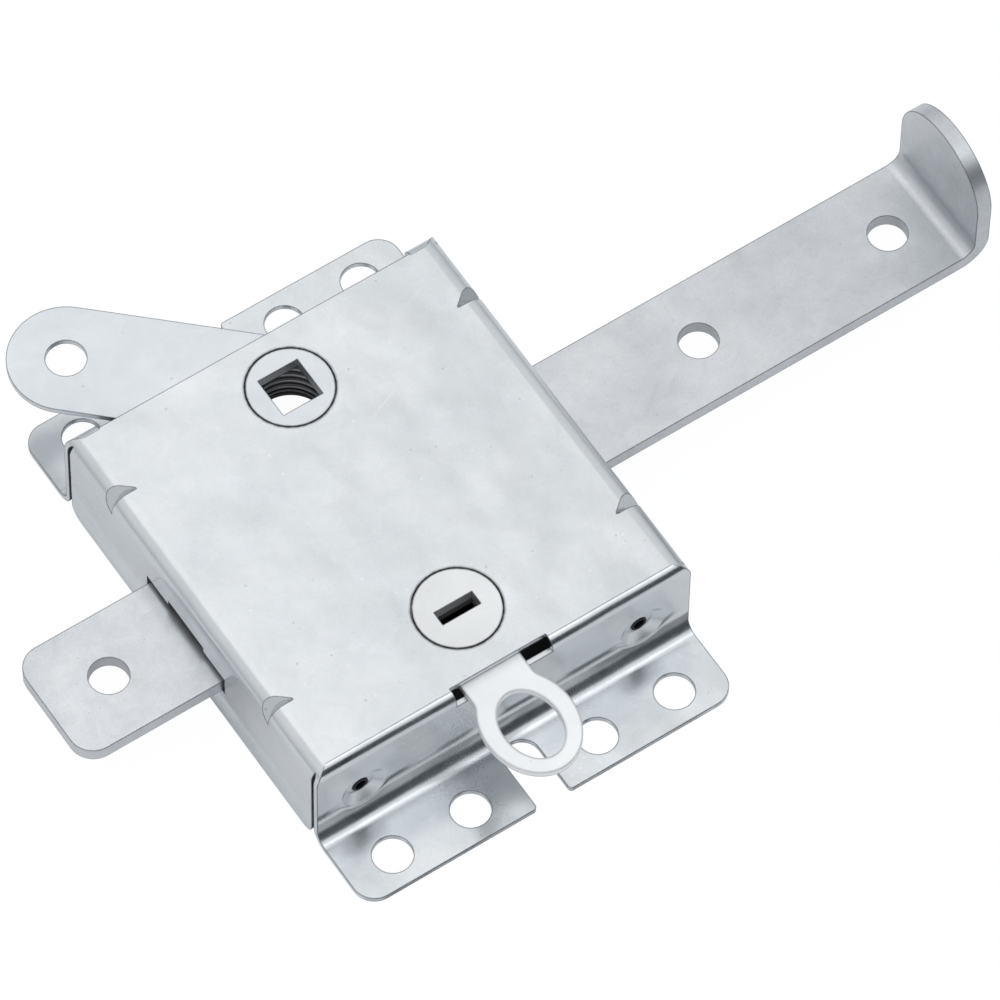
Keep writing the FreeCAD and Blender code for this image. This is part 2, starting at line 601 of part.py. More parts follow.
def bracket(label, top, width, front, rear, foot_x, foot_y):
    """A table of folded steel: a web, two legs and two feet with rivet holes."""
    body = new_body(label)
    leg = "(%s / 2)" % width
    foot_top = BACK_TOP + " + sheet"
    profile = sketch_on(body, "XZ_Plane", "-(%s + %s) / 2" % (front, rear))
    outline(profile, [
        ("-" + leg + " - foot_length", BACK_TOP),
        ("-" + leg, BACK_TOP),
        ("-" + leg, top + " - sheet"),
        (leg, top + " - sheet"),
        (leg, BACK_TOP),
        (leg + " + foot_length", BACK_TOP),
        (leg + " + foot_length", foot_top),
        (leg + " + sheet", foot_top),
        (leg + " + sheet", top),
        ("-" + leg + " - sheet", top),
        ("-" + leg + " - sheet", foot_top),
        ("-" + leg + " - foot_length", foot_top),
    ])
    feature = pad(body, profile, "%s - (%s)" % (rear, front), symmetric=True)
    tops = [(sign + "(" + leg + " + sheet)", "0", top) for sign in ("", "-")]
    feature = fillet(body, feature, ALONG_Y, tops, "bracket_bend")
    holes = sketch_on(body, "XY_Plane")
    for x, y in foot_spots(foot_x, foot_y):
        circle(holes, x, y, "rivet_shank")
    cut(body, holes)
    return body


def hub_bracket():
    """The bracket that carries the torsion spring, open below the spindle."""
    body = bracket("hub_bracket", HUB_BRACKET_TOP, "hub_bracket_width",
                   "(%s - hub_bracket_front)" % SPINDLE_Y, "(%s + hub_bracket_rear)" % SPINDLE_Y,
                   HUB_FOOT_X, HUB_FOOT_Y)
    way = sketch_on(body, "XY_Plane")
    circle(way, "0", SPINDLE_Y, "spring_bore + spring_wire / 2")
    circle(way, POST_X, POST_Y, "rivet_shank")
    cut(body, way)
    return body


def guide_bridge():
    """The bridge that carries the ring slider and the key cam's journal."""
    body = bracket("guide_bridge", BRIDGE_TOP, "bridge_width",
                   "(%s - bridge_front)" % KEY_Y, "(%s + bridge_rear)" % KEY_Y,
                   BRIDGE_FOOT_X, BRIDGE_FOOT_Y)
    way = sketch_on(body, "XY_Plane")
    circle(way, "0", KEY_Y, "cam_journal + 2 * pivot_play")
    cut(body, way)
    for sign in ("", "-"):
        lip = sketch_on(body, "XY_Plane", BRIDGE_TOP)
        near = "slider_x %s (slider_body / 2 + 2 * slip)" % (sign or "+")
        far = "slider_x %s (slider_body / 2 + 2 * slip + sheet)" % (sign or "+")
        pair = (near, far) if sign == "" else (far, near)
        rectangle(lip, pair[0], pair[1], KEY_Y + " - foot_width / 2", KEY_Y + " + foot_width / 2")
        pad(body, lip, "slider_steel")
    front = sketch_on(body, "XY_Plane", BRIDGE_TOP + " - bridge_lip")
    edge = KEY_Y + " - bridge_front"
    rectangle(front, "-bridge_width / 2", "bridge_width / 2", edge, edge + " + sheet")
    pad(body, front, "bridge_lip - sheet / 2")
    return body


def back_plate():
    """The inner plate: ears staked into the end walls, openings below both hubs."""
    body = new_body("back_plate")
    base = sketch_on(body, "XY_Plane", "back_floor")
    edge_y = "(case_depth / 2 - sheet - dimple_depth)"
    ear = "ear_width / 2"
    shoulder = "(%s - ear_root)" % edge_y
    points = []
    for x_sign, y_sign, order in ((1, -1, 1), (1, 1, -1), (-1, 1, 1), (-1, -1, -1)):
        sx = "%d * " % x_sign
        sy = "%d * " % y_sign
        run = [
            (sx + "(%s - %s)" % (DIMPLE_X, ear), sy + shoulder),
            (sx + "(%s - %s)" % (DIMPLE_X, ear), sy + edge_y),
            (sx + "(%s + %s)" % (DIMPLE_X, ear), sy + edge_y),
            (sx + "(%s + %s)" % (DIMPLE_X, ear), sy + shoulder),
        ]
        points += run if order > 0 else run[::-1]
    outline(base, points)
    feature = pad(body, base, "sheet")
    for y_sign in (1, -1):
        for x_sign in (1, -1):
            ear_sketch = sketch_on(body, "XY_Plane", "back_floor")
            inner = "%d * (%s - sheet)" % (y_sign, edge_y)
            outer = "%d * %s" % (y_sign, edge_y)
            low, high = (inner, outer) if y_sign > 0 else (outer, inner)
            left = "%d * %s - %s" % (x_sign, DIMPLE_X, ear)
            right = "%d * %s + %s" % (x_sign, DIMPLE_X, ear)
            rectangle(ear_sketch, left, right, low, high)
            feature = pad(body, ear_sketch, "ear_top - back_floor")
    bends = [("0", "%d * %s" % (y_sign, edge_y), "back_floor") for y_sign in (1, -1)]
    feature = fillet(body, feature, ALONG_X, bends, "ear_bend")
    ways = sketch_on(body, "XY_Plane")
    circle(ways, "0", KEY_Y, "back_key_hole")
    for x, y in foot_spots(HUB_FOOT_X, HUB_FOOT_Y) + foot_spots(BRIDGE_FOOT_X, BRIDGE_FOOT_Y):
        circle(ways, x, y, "rivet_shank")
    circle(ways, STOP_X, "bolt_y", "rivet_shank")
    cut(body, ways)
    spindle_way = sketch_on(body, "XY_Plane")
    slot(spindle_way, "0", SPINDLE_Y, "0", "case_depth", "back_spindle_hole / 2")
    cut(body, spindle_way)
    eyelets = [body]
    bores = []
    for y_sign in (1, -1):
        for x_sign in (1, -1):
            turn = TO_REAR if y_sign > 0 else TO_FRONT
            where = ("%d * %s" % (x_sign, DIMPLE_X), "%d * (%s - sheet / 2)" % (y_sign, edge_y), "dimple_z - stake_drop")
            eyelets.append(round_bar("eyelet", "Cylinder", *where, turn,
                                     Radius="stake_outer / 2", Height="1.5 * sheet + slip"))
            bores.append(round_bar("eyelet_bore", "Cylinder", *where[:1],
                                   "%d * (%s - 2 * sheet)" % (y_sign, edge_y), where[2], turn,
                                   Radius="stake_inner / 2", Height="5 * sheet"))
    return subtract("back_plate_staked", fuse("back_plate_body", eyelets), bores)


def slide_bolt():
    """The flat bolt with its bent-up thumb tab, drive notch, stop slot and two dog notches."""
    body = new_body("slide_bolt")
    profile = sketch_on(body, "XZ_Plane", "-bolt_y")
    outline(profile, [
        ("-bolt_nose", "bolt_floor"),
        ("tab_face_x + bolt_steel", "bolt_floor"),
        ("tab_face_x + bolt_steel", "tab_top"),
        ("tab_face_x", "tab_top"),
        ("tab_face_x", BOLT_TOP),
        ("-bolt_nose", BOLT_TOP),
    ])
    feature = pad(body, profile, "bolt_width", symmetric=True)
    feature = fillet(body, feature, ALONG_Y, [("tab_face_x", "0", BOLT_TOP)], "tab_bend")
    feature = fillet(body, feature, ALONG_Y, [("tab_face_x + bolt_steel", "0", "bolt_floor")], "tab_bend + bolt_steel")
    nose = [("-bolt_nose", BOLT_FRONT, "0"), ("-bolt_nose", BOLT_REAR, "0")]
    feature = fillet(body, feature, ALONG_Z, nose, "bolt_corner")
    tip = [("0", BOLT_FRONT, "tab_top"), ("0", BOLT_REAR, "tab_top")]
    feature = fillet(body, feature, ALONG_X, tip, "bolt_width / 2 - edge_break / 3")
    ways = sketch_on(body, "XY_Plane")
    for x in ("-nose_hole_x", "mid_hole_x", "tail_hole_x"):
        circle(ways, x, "bolt_y", "bolt_hole")
    cut(body, ways)
    notches = sketch_on(body, "XY_Plane")
    half = "(stud_diameter / 2 + stud_play)"
    bottom = "(%s - %s - %s)" % (SPINDLE_Y, DRIVE_RADIUS, half)
    rectangle(notches, STUD_X + " - " + half, STUD_X + " + " + half, bottom, BOLT_REAR + " + sheet")
    half = "(dog_width / 2 + dog_play)"
    depth = "(%s + slider_travel + 2 * edge_break)" % DOG_REAR
    for shift in ("0", STROKE):
        centre = "slider_x + %s" % shift
        rectangle(notches, "%s - %s" % (centre, half), "%s + %s" % (centre, half), BOLT_FRONT + " - sheet", depth)
    feature = cut(body, notches)
    stop_way = sketch_on(body, "XY_Plane")
    slot(stop_way, STOP_X, "bolt_y", STOP_X + " + " + STROKE, "bolt_y", "stop_diameter / 2 + edge_break")
    feature = cut(body, stop_way)
    return body


def spindle_lever():
    """The lever stamping: outer arm, disc with the square hole, and inner drive arm."""
    body = new_body("spindle_lever")
    arm = sketch_on(body, "XY_Plane", LEVER_UNDER)
    slot(arm, "0", SPINDLE_Y, LEVER_END_X, LEVER_END_Y, "lever_width / 2")
    pad(body, arm, "lever_steel")
    drive = sketch_on(body, "XY_Plane", LEVER_UNDER)
    slot(drive, "0", SPINDLE_Y, STUD_X, STUD_Y, "drive_arm_width / 2")
    pad(body, drive, "lever_steel")
    disc = sketch_on(body, "XY_Plane", LEVER_TOP)
    circle(disc, "0", SPINDLE_Y, "hub_disc")
    pad(body, disc, "sheet + slip")
    ways = sketch_on(body, "XY_Plane")
    half = "square_hole / 2"
    rectangle(ways, "-" + half, half, SPINDLE_Y + " - " + half, SPINDLE_Y + " + " + half)
    circle(ways, LEVER_END_X, LEVER_END_Y, "lever_hole")
    circle(ways, STUD_X, STUD_Y, "stud_tenon")
    circle(ways, LEG_X, LEG_Y, "spring_wire + 4 * pivot_play")
    cut(body, ways)
    return body


def drive_stud():
    """The stud riveted into the lever's inner arm; it stands in the bolt's rear notch."""
    name = "drive_stud"
    post = round_bar(name + "_post", "Cylinder", STUD_X, STUD_Y, "bolt_floor", UPRIGHT,
                     Radius="stud_diameter / 2", Height=LEVER_UNDER + " - bolt_floor")
    tenon = round_bar(name + "_tenon", "Cylinder", STUD_X, STUD_Y, LEVER_UNDER, UPRIGHT,
                      Radius="stud_tenon / 2", Height="lever_steel")
    return fuse(name, [post, tenon])


def stop_pin():
    """The pin on the back plate that ends the bolt's travel both ways."""
    name = "stop_pin"
    spot = (STOP_X, "bolt_y")
    collar = round_bar(name + "_collar", "Cylinder", *spot, BACK_TOP, UPRIGHT,
                       Radius="stop_diameter / 2 + sheet", Height="bolt_floor - 2 * slip - " + BACK_TOP)
    post = round_bar(name + "_post", "Cylinder", *spot, BACK_TOP, UPRIGHT,
                     Radius="stop_diameter / 2", Height=BOLT_TOP + " + sheet - " + BACK_TOP)
    tenon = round_bar(name + "_tenon", "Cylinder", *spot, "back_floor", UPRIGHT,
                      Radius="rivet_shank / 2", Height="sheet")
    head = round_bar(name + "_head", "Cone", *spot, "back_floor - rivet_rise", UPRIGHT,
                     Radius1="rivet_crown / 2", Radius2="rivet_head / 2", Height="rivet_rise")
    return fuse(name, [collar, post, tenon, head])


# The torsion spring's lower leg lies against the post; its upper leg stands in the lever.
LEG_X = "(spring_leg_radius * cos(lever_angle))"
LEG_Y = "(%s + spring_leg_radius * sin(lever_angle))" % SPINDLE_Y
COIL = "((spring_bore + spring_wire) / 2)"
POST_X = "(%s + spring_wire / 2 + rivet_shank / 2 + 2 * pivot_play)" % COIL
POST_Y = "(%s + spring_wire + sheet)" % SPINDLE_Y


def spring_post():
    """The shouldered post on the hub bracket that holds the spring's lower leg."""
    name = "spring_post"
    body = round_bar(name + "_shank", "Cylinder", POST_X, POST_Y, HUB_BRACKET_TOP + " - sheet", UPRIGHT,
                     Radius="rivet_shank / 2", Height="sheet + post_height")
    head = round_bar(name + "_head", "Cone", POST_X, POST_Y, HUB_BRACKET_TOP + " - sheet - rivet_rise", UPRIGHT,
                     Radius1="rivet_crown / 2", Radius2="rivet_head / 2", Height="rivet_rise")
    return fuse(name, [body, head])


def torsion_spring():
    """A round-wire coil below the lever, with a straight leg at each end."""
    radius = value(COIL)
    wire_radius = value("spring_wire / 2")
    floor = value(HUB_BRACKET_TOP) + wire_radius + value("pivot_play")
    centre = Vector(0, value(SPINDLE_Y), 0)
    coil = Part.makeHelix(value(SPRING_RISE) / value(SPRING_TURNS), value(SPRING_RISE), radius)
    coil.translate(centre + Vector(0, 0, floor))
    start = coil.Edges[0].firstVertex().Point
    end = coil.Edges[-1].lastVertex().Point
    lower_end = start + Vector(0, value("-spring_leg_radius"), 0)
    lower_leg = Part.makeLine(lower_end, start)
    profile = Part.Wire(Part.makeCircle(wire_radius, lower_end, Vector(0, 1, 0)))
    spine = Part.Wire([lower_leg] + coil.Edges)
    sweep = Part.BRepOffsetAPI.MakePipeShell(spine)
    sweep.setFrenetMode(True)
    sweep.add(profile)
    sweep.build()
    sweep.makeSolid()
    shape = sweep.shape()
    leg_top = Vector(value(LEG_X), value(LEG_Y), value(LEVER_TOP) - wire_radius)
    reach = Vector(leg_top.x, leg_top.y, end.z)
    over = Part.makeCylinder(wire_radius, (reach - end).Length, end, reach - end)
    up = Part.makeCylinder(wire_radius, leg_top.z - end.z, reach, ALONG_Z)
    shape = shape.fuse([over, Part.makeSphere(wire_radius, reach), Part.makeSphere(wire_radius, end), up])
    feature = doc.addObject("Part::Feature", "torsion_spring")
    feature.Shape = shape.removeSplitter()
    feature.Label = "torsion_spring"
    return feature


def ring_slider():
    """The slider: oval pull ring, neck, guided body with the cam window, and the bent-down dog."""
    body = new_body("slider_body")
    plate = sketch_on(body, "XY_Plane", SLIDER_UNDER)
    neck = "neck_width / 2"
    wide = "slider_body / 2"
    shoulder = "(-1 * %s + slider_travel / 8 + sheet)" % WALL_INSIDE_Y
    ring_y = "(%s + ring_length / 2)" % RING_END_Y
    outline(plate, [
        ("slider_x - " + neck, ring_y + " + ring_width / 3"),
        ("slider_x + " + neck, ring_y + " + ring_width / 3"),
        ("slider_x + " + neck, shoulder),
        ("slider_x + " + wide, shoulder + " + sheet"),
        ("slider_x + " + wide, DOG_REAR),
        ("slider_x - " + wide, DOG_REAR),
        ("slider_x - " + wide, shoulder + " + sheet"),
        ("slider_x - " + neck, shoulder),
    ])
    pad(body, plate, "slider_steel")
    dog = sketch_on(body, "XY_Plane", "bolt_floor")
    rectangle(dog, "slider_x - dog_width / 2", "slider_x + dog_width / 2", DOG_REAR + " - dog_steel", DOG_REAR)
    pad(body, dog, SLIDER_UNDER + " - bolt_floor + slider_steel")
    window = sketch_on(body, "XY_Plane")
    slot(window, "0", KEY_Y + " - slider_travel", "0", KEY_Y, "cam_journal / 2 + 2 * slip")
    cut(body, window)
    notch = sketch_on(body, "XY_Plane")
    half = "(finger_width / 2 + finger_play)"
    tip = "(%s + finger_width / 2 + 2 * slip)" % FINGER_RADIUS
    rectangle(notch, "0", tip, FINGER_Y + " - " + half, FINGER_Y + " + " + half)
    cut(body, notch)
    ring = oval("pull_ring", "slider_x", ring_y, SLIDER_UNDER, "ring_width / 2", "ring_length / 2", "slider_steel")
    joined = fuse("slider_blank", [body, ring])
    doc.recompute()
    meeting = value("%s + ring_length / 2 * sqrt(1 - (neck_width / ring_width) ^ 2)" % ring_y)
    rounded = doc.addObject("Part::Fillet", "slider_shoulders")
    rounded.Base = joined
    shoulders = []
    for number, edge in enumerate(joined.Shape.Edges, start=1):
        ends = [vertex.Point for vertex in edge.Vertexes]
        if all(abs(end.y - meeting) < value("slip") for end in ends) and abs(ends[0].x - ends[-1].x) < value("slip"):
            shoulders.append((number, value("ring_shoulder"), value("ring_shoulder")))
    rounded.Edges = shoulders
    hole_y = "(%s + ring_rim + ring_hole_length / 2)" % RING_END_Y
    hole = oval("finger_hole", "slider_x", hole_y, SLIDER_UNDER + " - slip", "ring_width / 2 - ring_side",
                "ring_hole_length / 2", "slider_steel + 2 * slip")
    return subtract("ring_slider", rounded, [hole])


def key_cam():
    """The cam that the key turns: disc, finger in the slider, journal in the bridge, key slot."""
    body = new_body("key_cam")
    disc = sketch_on(body, "XY_Plane", PLATE_UNDER + " - slip")
    circle(disc, "0", KEY_Y, "hub_disc")
    pad(body, disc, "sheet + slip")
    journal = sketch_on(body, "XY_Plane", BRIDGE_TOP + " - sheet - slip")
    circle(journal, "0", KEY_Y, "cam_journal")
    pad(body, journal, "sheet + 3 * slip + slider_steel")
    finger = sketch_on(body, "XY_Plane", BRIDGE_TOP + " + slip")
    slot(finger, "0", KEY_Y, FINGER_X, FINGER_Y, "finger_neck / 2")
    pad(body, finger, "slider_steel")
    tip = sketch_on(body, "XY_Plane", BRIDGE_TOP + " + slip")
    circle(tip, FINGER_X, FINGER_Y, "finger_width")
    pad(body, tip, "slider_steel")
    way = sketch_on(body, "XY_Plane")
    half_length = "key_slot_length / 2"
    half_width = "key_slot_width / 2"
    rectangle(way, "-" + half_length, half_length, KEY_Y + " - " + half_width, KEY_Y + " + " + half_width)
    cut(body, way)
    return body


def check(parts):
    """Stops on any failed object and any empty or broken shape."""
    for item in doc.Objects:
        if "Invalid" in item.State or "Error" in item.State:
            raise RuntimeError("%s has failed: %s" % (item.Label, item.State))
    for name, item in parts.items():
        shape = item.Shape
        if shape.isNull() or not shape.isValid() or len(shape.Solids) != 1:
            raise RuntimeError("%s is not one sound solid" % name)


def main():
    parts = {
        "case_shell": case_shell(),
        "back_plate": back_plate(),
        "hub_bracket": hub_bracket(),
        "guide_bridge": guide_bridge(),
        "slide_bolt": slide_bolt(),
        "stop_pin": stop_pin(),
        "spindle_lever": spindle_lever(),
        "drive_stud": drive_stud(),
        "spring_post": spring_post(),
        "torsion_spring": torsion_spring(),
        "ring_slider": ring_slider(),
        "key_cam": key_cam(),
    }
    for tag, foot_x, foot_y in (("hub_bracket", HUB_FOOT_X, HUB_FOOT_Y), ("guide_bridge", BRIDGE_FOOT_X, BRIDGE_FOOT_Y)):
        for rivet in bracket_rivets(tag, foot_spots(foot_x, foot_y)):
            parts[rivet.Label] = rivet
    doc.recompute()
    check(parts)
    os.makedirs("parts", exist_ok=True)
    for name, item in parts.items():
        item.Shape.exportStep("parts/%s.step" % name)
        size = item.Shape.BoundBox
        print("%-22s %8.1f mm3  x %.1f..%.1f  y %.1f..%.1f  z %.1f..%.1f" % (
            name, item.Shape.Volume, size.XMin, size.XMax, size.YMin, size.YMax, size.ZMin, size.ZMax))


main()
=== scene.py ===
# %% [markdown]
# A slide lock for a sectional door, dressed for a studio picture. The rigid shapes come ready from
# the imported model. What is made here is the camera, the light and the plated steel finishes.

import json

import bpy
from mathutils import Matrix, Vector


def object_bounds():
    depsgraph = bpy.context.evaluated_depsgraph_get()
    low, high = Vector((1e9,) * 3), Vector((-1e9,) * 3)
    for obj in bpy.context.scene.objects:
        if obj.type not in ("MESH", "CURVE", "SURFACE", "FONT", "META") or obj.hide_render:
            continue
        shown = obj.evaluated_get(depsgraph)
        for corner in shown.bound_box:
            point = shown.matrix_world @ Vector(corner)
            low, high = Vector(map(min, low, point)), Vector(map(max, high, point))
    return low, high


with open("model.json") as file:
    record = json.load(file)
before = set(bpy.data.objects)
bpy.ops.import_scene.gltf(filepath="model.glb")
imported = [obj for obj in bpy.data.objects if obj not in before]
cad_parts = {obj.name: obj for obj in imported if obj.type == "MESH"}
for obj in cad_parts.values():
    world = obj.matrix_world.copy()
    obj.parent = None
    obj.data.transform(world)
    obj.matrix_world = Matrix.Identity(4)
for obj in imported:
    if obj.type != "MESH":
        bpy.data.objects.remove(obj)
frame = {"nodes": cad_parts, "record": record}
nodes = frame["nodes"]
cad_box = [list(map(float, corner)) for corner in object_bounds()]
MM = 0.001
print("nodes:", len(nodes), "box:", cad_box)

# %% [markdown]
# The picture was taken from far away with a long lens, looking down on the case's front left
# corner. Two unit vectors fix the camera's turn and one point fixes its place. A lens aimed with
# a tracking constraint would be easier to read, but it could not hold the small roll.

# %% Camera
CAMERA_RIGHT = Vector((0.83307, -0.55306, 0.01131))
CAMERA_UP = Vector((0.47456, 0.72502, 0.49914))
CAMERA_PLACE = Vector((-0.5504, -0.8354, 1.7619))
LENS = 384.5
SENSOR_WIDTH = 36.0
NEAR, FAR = 0.1, 20.0

camera_data = bpy.data.cameras.new("studio_camera")
camera_data.lens = LENS
camera_data.sensor_width = SENSOR_WIDTH
camera_data.clip_start = NEAR
camera_data.clip_end = FAR
camera = bpy.data.objects.new("studio_camera", camera_data)
bpy.context.collection.objects.link(camera)
turn = Matrix((CAMERA_RIGHT, CAMERA_UP, CAMERA_RIGHT.cross(CAMERA_UP))).transposed()
camera.matrix_world = Matrix.Translation(CAMERA_PLACE) @ turn.to_4x4()
bpy.context.scene.camera = camera
print("camera at", [round(v, 3) for v in camera.matrix_world.translation])

# %% [markdown]
# Every finish below is a network of shader nodes. Two short helpers keep the networks readable:
# one adds a node and sets its plain inputs, the other joins two sockets.


# %% Helpers that add and join nodes
def add(tree, kind, values=None, **settings):
    """Adds one node, sets its properties and then its unlinked inputs."""
    node = tree.nodes.new("ShaderNode" + kind)
    for name, setting in settings.items():
        setattr(node, name, setting)
    for name, value in (values or {}).items():
        node.inputs[name].default_value = value
    return node


def join(tree, source, target):
    """Links an output socket to an input socket."""
    tree.links.new(source, target)


# %% [markdown]
# Networks are mostly sums, and a sum is easier to follow as one line than as a node and its
# links. These helpers wrap the Math, Vector Math, Mix, Map Range and Separate XYZ nodes, and each
# gives back the socket or sockets that hold the result.


# %% Helpers that calculate
def feed(tree, sockets, operands):
    """Gives each socket its operand, which is another socket, a number or a triple."""
    for socket, operand in zip(sockets, operands):
        if isinstance(operand, bpy.types.NodeSocket):
            join(tree, operand, socket)
        elif operand is not None:
            socket.default_value = operand


def math_node(tree, operation, first, second=None, clamp=False):
    """One sum on numbers."""
    node = add(tree, "Math", operation=operation, use_clamp=clamp)
    feed(tree, node.inputs, (first, second))
    return node.outputs[0]


def vector_node(tree, operation, first, second=None, result="Vector"):
    """One sum on vectors. DISTANCE and LENGTH give their result as Value."""
    node = add(tree, "VectorMath", operation=operation)
    feed(tree, node.inputs, (first, second))
    return node.outputs[result]


def blend(tree, share, first, second, kind="RGBA"):
    """Mixes two colours by a share, or two vectors where kind is VECTOR."""
    node = add(tree, "Mix", data_type=kind)
    join(tree, share, node.inputs["Factor"])
    ends = [item for item in node.inputs if item.type == kind and item.name in ("A", "B")]
    for socket, value in zip(ends, (first, second)):
        feed(tree, [socket], [(*value, 1.0) if isinstance(value, tuple) else value])
    return [item for item in node.outputs if item.type == kind][0]


def spread(tree, value, low, high, to_low=0.0, to_high=1.0):
    """Maps a range of values to another and clamps it. The ends may be sockets or numbers."""
    node = add(tree, "MapRange")
    feed(tree, node.inputs, (value, low, high, to_low, to_high))
    return node.outputs["Result"]


def axes(tree, vector):
    """The X, Y and Z of a vector."""
    node = add(tree, "SeparateXYZ")
    join(tree, vector, node.inputs[0])
    return node.outputs


# %% [markdown]
# Bare metal shows mostly what it mirrors, so the room around the object matters more than the
# lamps. The world is a soft tent: bright overhead, a little darker to the rear and greyer near
# the horizon.

# %% The tent around the object
TENT_HORIZON = (0.42, 0.44, 0.465)
TENT_OVERHEAD = (0.98, 1.0, 1.02)
TENT_REAR = (0.80, 0.81, 0.815)
TENT_RISE = (0.0, 0.8)
TENT_BACK = (0.05, 0.45)

scene = bpy.context.scene
scene.view_settings.view_transform = "Standard"
world = bpy.data.worlds.new("studio_tent")
scene.world = world
world.use_nodes = True
tree = world.node_tree
tree.nodes.clear()
direction = axes(tree, add(tree, "TexCoord").outputs["Generated"])
height = spread(tree, direction["Z"], *TENT_RISE)
tent = blend(tree, height, TENT_HORIZON, TENT_OVERHEAD)
rear = math_node(tree, "MULTIPLY", spread(tree, direction["Y"], *TENT_BACK), height)
tent = blend(tree, rear, tent, TENT_REAR)
print("tent nodes:", len(tree.nodes))

# %% [markdown]
# The real tent was open in front, where the lens looked in. The opening is nearly black and lies
# low, about 5 to 43 degrees above the front horizon. The bends over the front wall and above the
# front flange mirror it as dark lines, and they are what makes the sheet look bent. It is given
# by its angle, by half its height and by half its width, each with a soft rim, in radians and in
# shares of the view. A wider opening would also show as a black case top in views from behind.

# %% The opening of the tent
OPENING = (0.008, 0.016, 0.026)
OPENING_ANGLE = 0.42
OPENING_HALF = (0.50, 0.34)
OPENING_SIDE = 0.27
OPENING_REACH = (0.28, 0.15)

front = math_node(tree, "MULTIPLY", direction["Y"], -1.0)
angle = math_node(tree, "ARCTAN2", direction["Z"], front)
off = math_node(tree, "ABSOLUTE", math_node(tree, "SUBTRACT", angle, OPENING_ANGLE))
aside = math_node(tree, "ABSOLUTE", math_node(tree, "SUBTRACT", direction["X"], OPENING_SIDE))
opening = math_node(tree, "MULTIPLY",
                    spread(tree, off, *OPENING_HALF), spread(tree, aside, *OPENING_REACH))
tent = blend(tree, opening, tent, OPENING)
sky = add(tree, "Background", {"Strength": 1.0})
join(tree, tent, sky.inputs["Color"])
join(tree, sky.outputs[0], add(tree, "OutputWorld").inputs["Surface"])
print("tent nodes with the opening:", len(tree.nodes))

# %% [markdown]
# Three soft lamps do the rest, and all of them look at the lock. The top one stands where the
# outer face mirrors it towards the camera. The small front one is mirrored twice, by wall and
# flange, and lights the flange near the fold. The left one keeps the left wall and its bend pale.

# %% Lamps
SOFTBOXES = {
    "softbox_top": {"place": (-0.02, 0.46, 0.95), "size": 0.78, "power": 0.66},
    "softbox_front": {"place": (0.27, -0.22, 0.95), "size": 0.28, "power": 0.19},
    "softbox_left": {"place": (-1.1, -0.1, 0.35), "size": 0.7, "power": 0.6},
}

for name, lamp in SOFTBOXES.items():
    data = bpy.data.lights.new(name, "AREA")
    data.shape = "SQUARE"
    data.size = lamp["size"]
    data.energy = lamp["power"]
    softbox = bpy.data.objects.new(name, data)
    bpy.context.collection.objects.link(softbox)
    softbox.location = lamp["place"]
    softbox.rotation_euler = Vector(lamp["place"]).to_track_quat("Z", "Y").to_euler()
print("lamps:", len(SOFTBOXES))

# %% [markdown]
# The floor is a plain pale sheet just under the flanges. To the camera it glows nearly white, as
# an overexposed backdrop does, and a little of its plain lit colour keeps the soft shadow. Metal
# mirrors it too: there the pale lit paper shows, with part of the glow laid over it, because a
# full glow would drown the dark bends.


# %% Floor
def new_material(name):
    """A node material with nothing but its output."""
    material = bpy.data.materials.new(name)
    material.use_nodes = True
    material.node_tree.nodes.clear()
    return material, material.node_tree, add(material.node_tree, "OutputMaterial")


FLOOR_DROP = 0.2 * MM
FLOOR_HALF = 6.0
PAPER = (0.80, 0.81, 0.83, 1.0)
WHITE = (1.0, 1.0, 1.0, 1.0)
GLOW_STRENGTH = 1.03
GLOW_SEEN = 0.94
GLOW_IN_METAL = 0.20

floor_mesh = bpy.data.meshes.new("floor")
corners = [(x * FLOOR_HALF, y * FLOOR_HALF, 0) for x, y in ((-1, -1), (1, -1), (1, 1), (-1, 1))]
floor_mesh.from_pydata(corners, [], [(0, 1, 2, 3)])
floor = bpy.data.objects.new("floor", floor_mesh)
bpy.context.collection.objects.link(floor)
floor.location.z = cad_box[0][2] - FLOOR_DROP
paper, tree, output = new_material("floor_paper")
lit = add(tree, "BsdfDiffuse", {"Color": PAPER})
glow = add(tree, "Emission", {"Color": WHITE, "Strength": GLOW_STRENGTH})
path = add(tree, "LightPath").outputs
seen = math_node(tree, "MAXIMUM", path["Is Camera Ray"], path["Is Transmission Ray"])
seen = math_node(tree, "MULTIPLY", seen, GLOW_SEEN)
mirrored = math_node(tree, "MULTIPLY", path["Is Glossy Ray"], GLOW_IN_METAL)
mix = add(tree, "MixShader")
join(tree, math_node(tree, "MAXIMUM", seen, mirrored), mix.inputs["Fac"])
join(tree, lit.outputs[0], mix.inputs[1])
join(tree, glow.outputs[0], mix.inputs[2])
join(tree, mix.outputs[0], output.inputs["Surface"])
floor_mesh.materials.append(paper)
print("floor at", floor.location.z)

# %% [markdown]
# Zinc plating is never one even grey. It has soft clouds as wide as a thumb, a fine grain like
# dry paint, thin scratches from handling and a few bright or dark specks. Each of these is a node
# group with named sockets, so that every steel part can use it with its own values.


# %% Node group helpers
def new_group(name, inputs, outputs):
    """A shader node group with named sockets. Returns the group and the sockets at its ends."""
    group = bpy.data.node_groups.new(name, "ShaderNodeTree")
    for label, kind, default in inputs:
        socket = group.interface.new_socket(label, in_out="INPUT", socket_type="NodeSocket" + kind)
        socket.default_value = default
    for label, kind in outputs:
        group.interface.new_socket(label, in_out="OUTPUT", socket_type="NodeSocket" + kind)
    start = group.nodes.new("NodeGroupInput")
    end = group.nodes.new("NodeGroupOutput")
    return group, start.outputs, end.inputs


def use_group(tree, group, links, values=None):
    """Places a group in a material, joins the named inputs and sets the others' values."""
    node = add(tree, "Group", values, node_tree=group)
    for name, source in links.items():
        join(tree, source, node.inputs[name])
    return node.outputs


ORIGIN = (0.0, 0.0, 0.0)

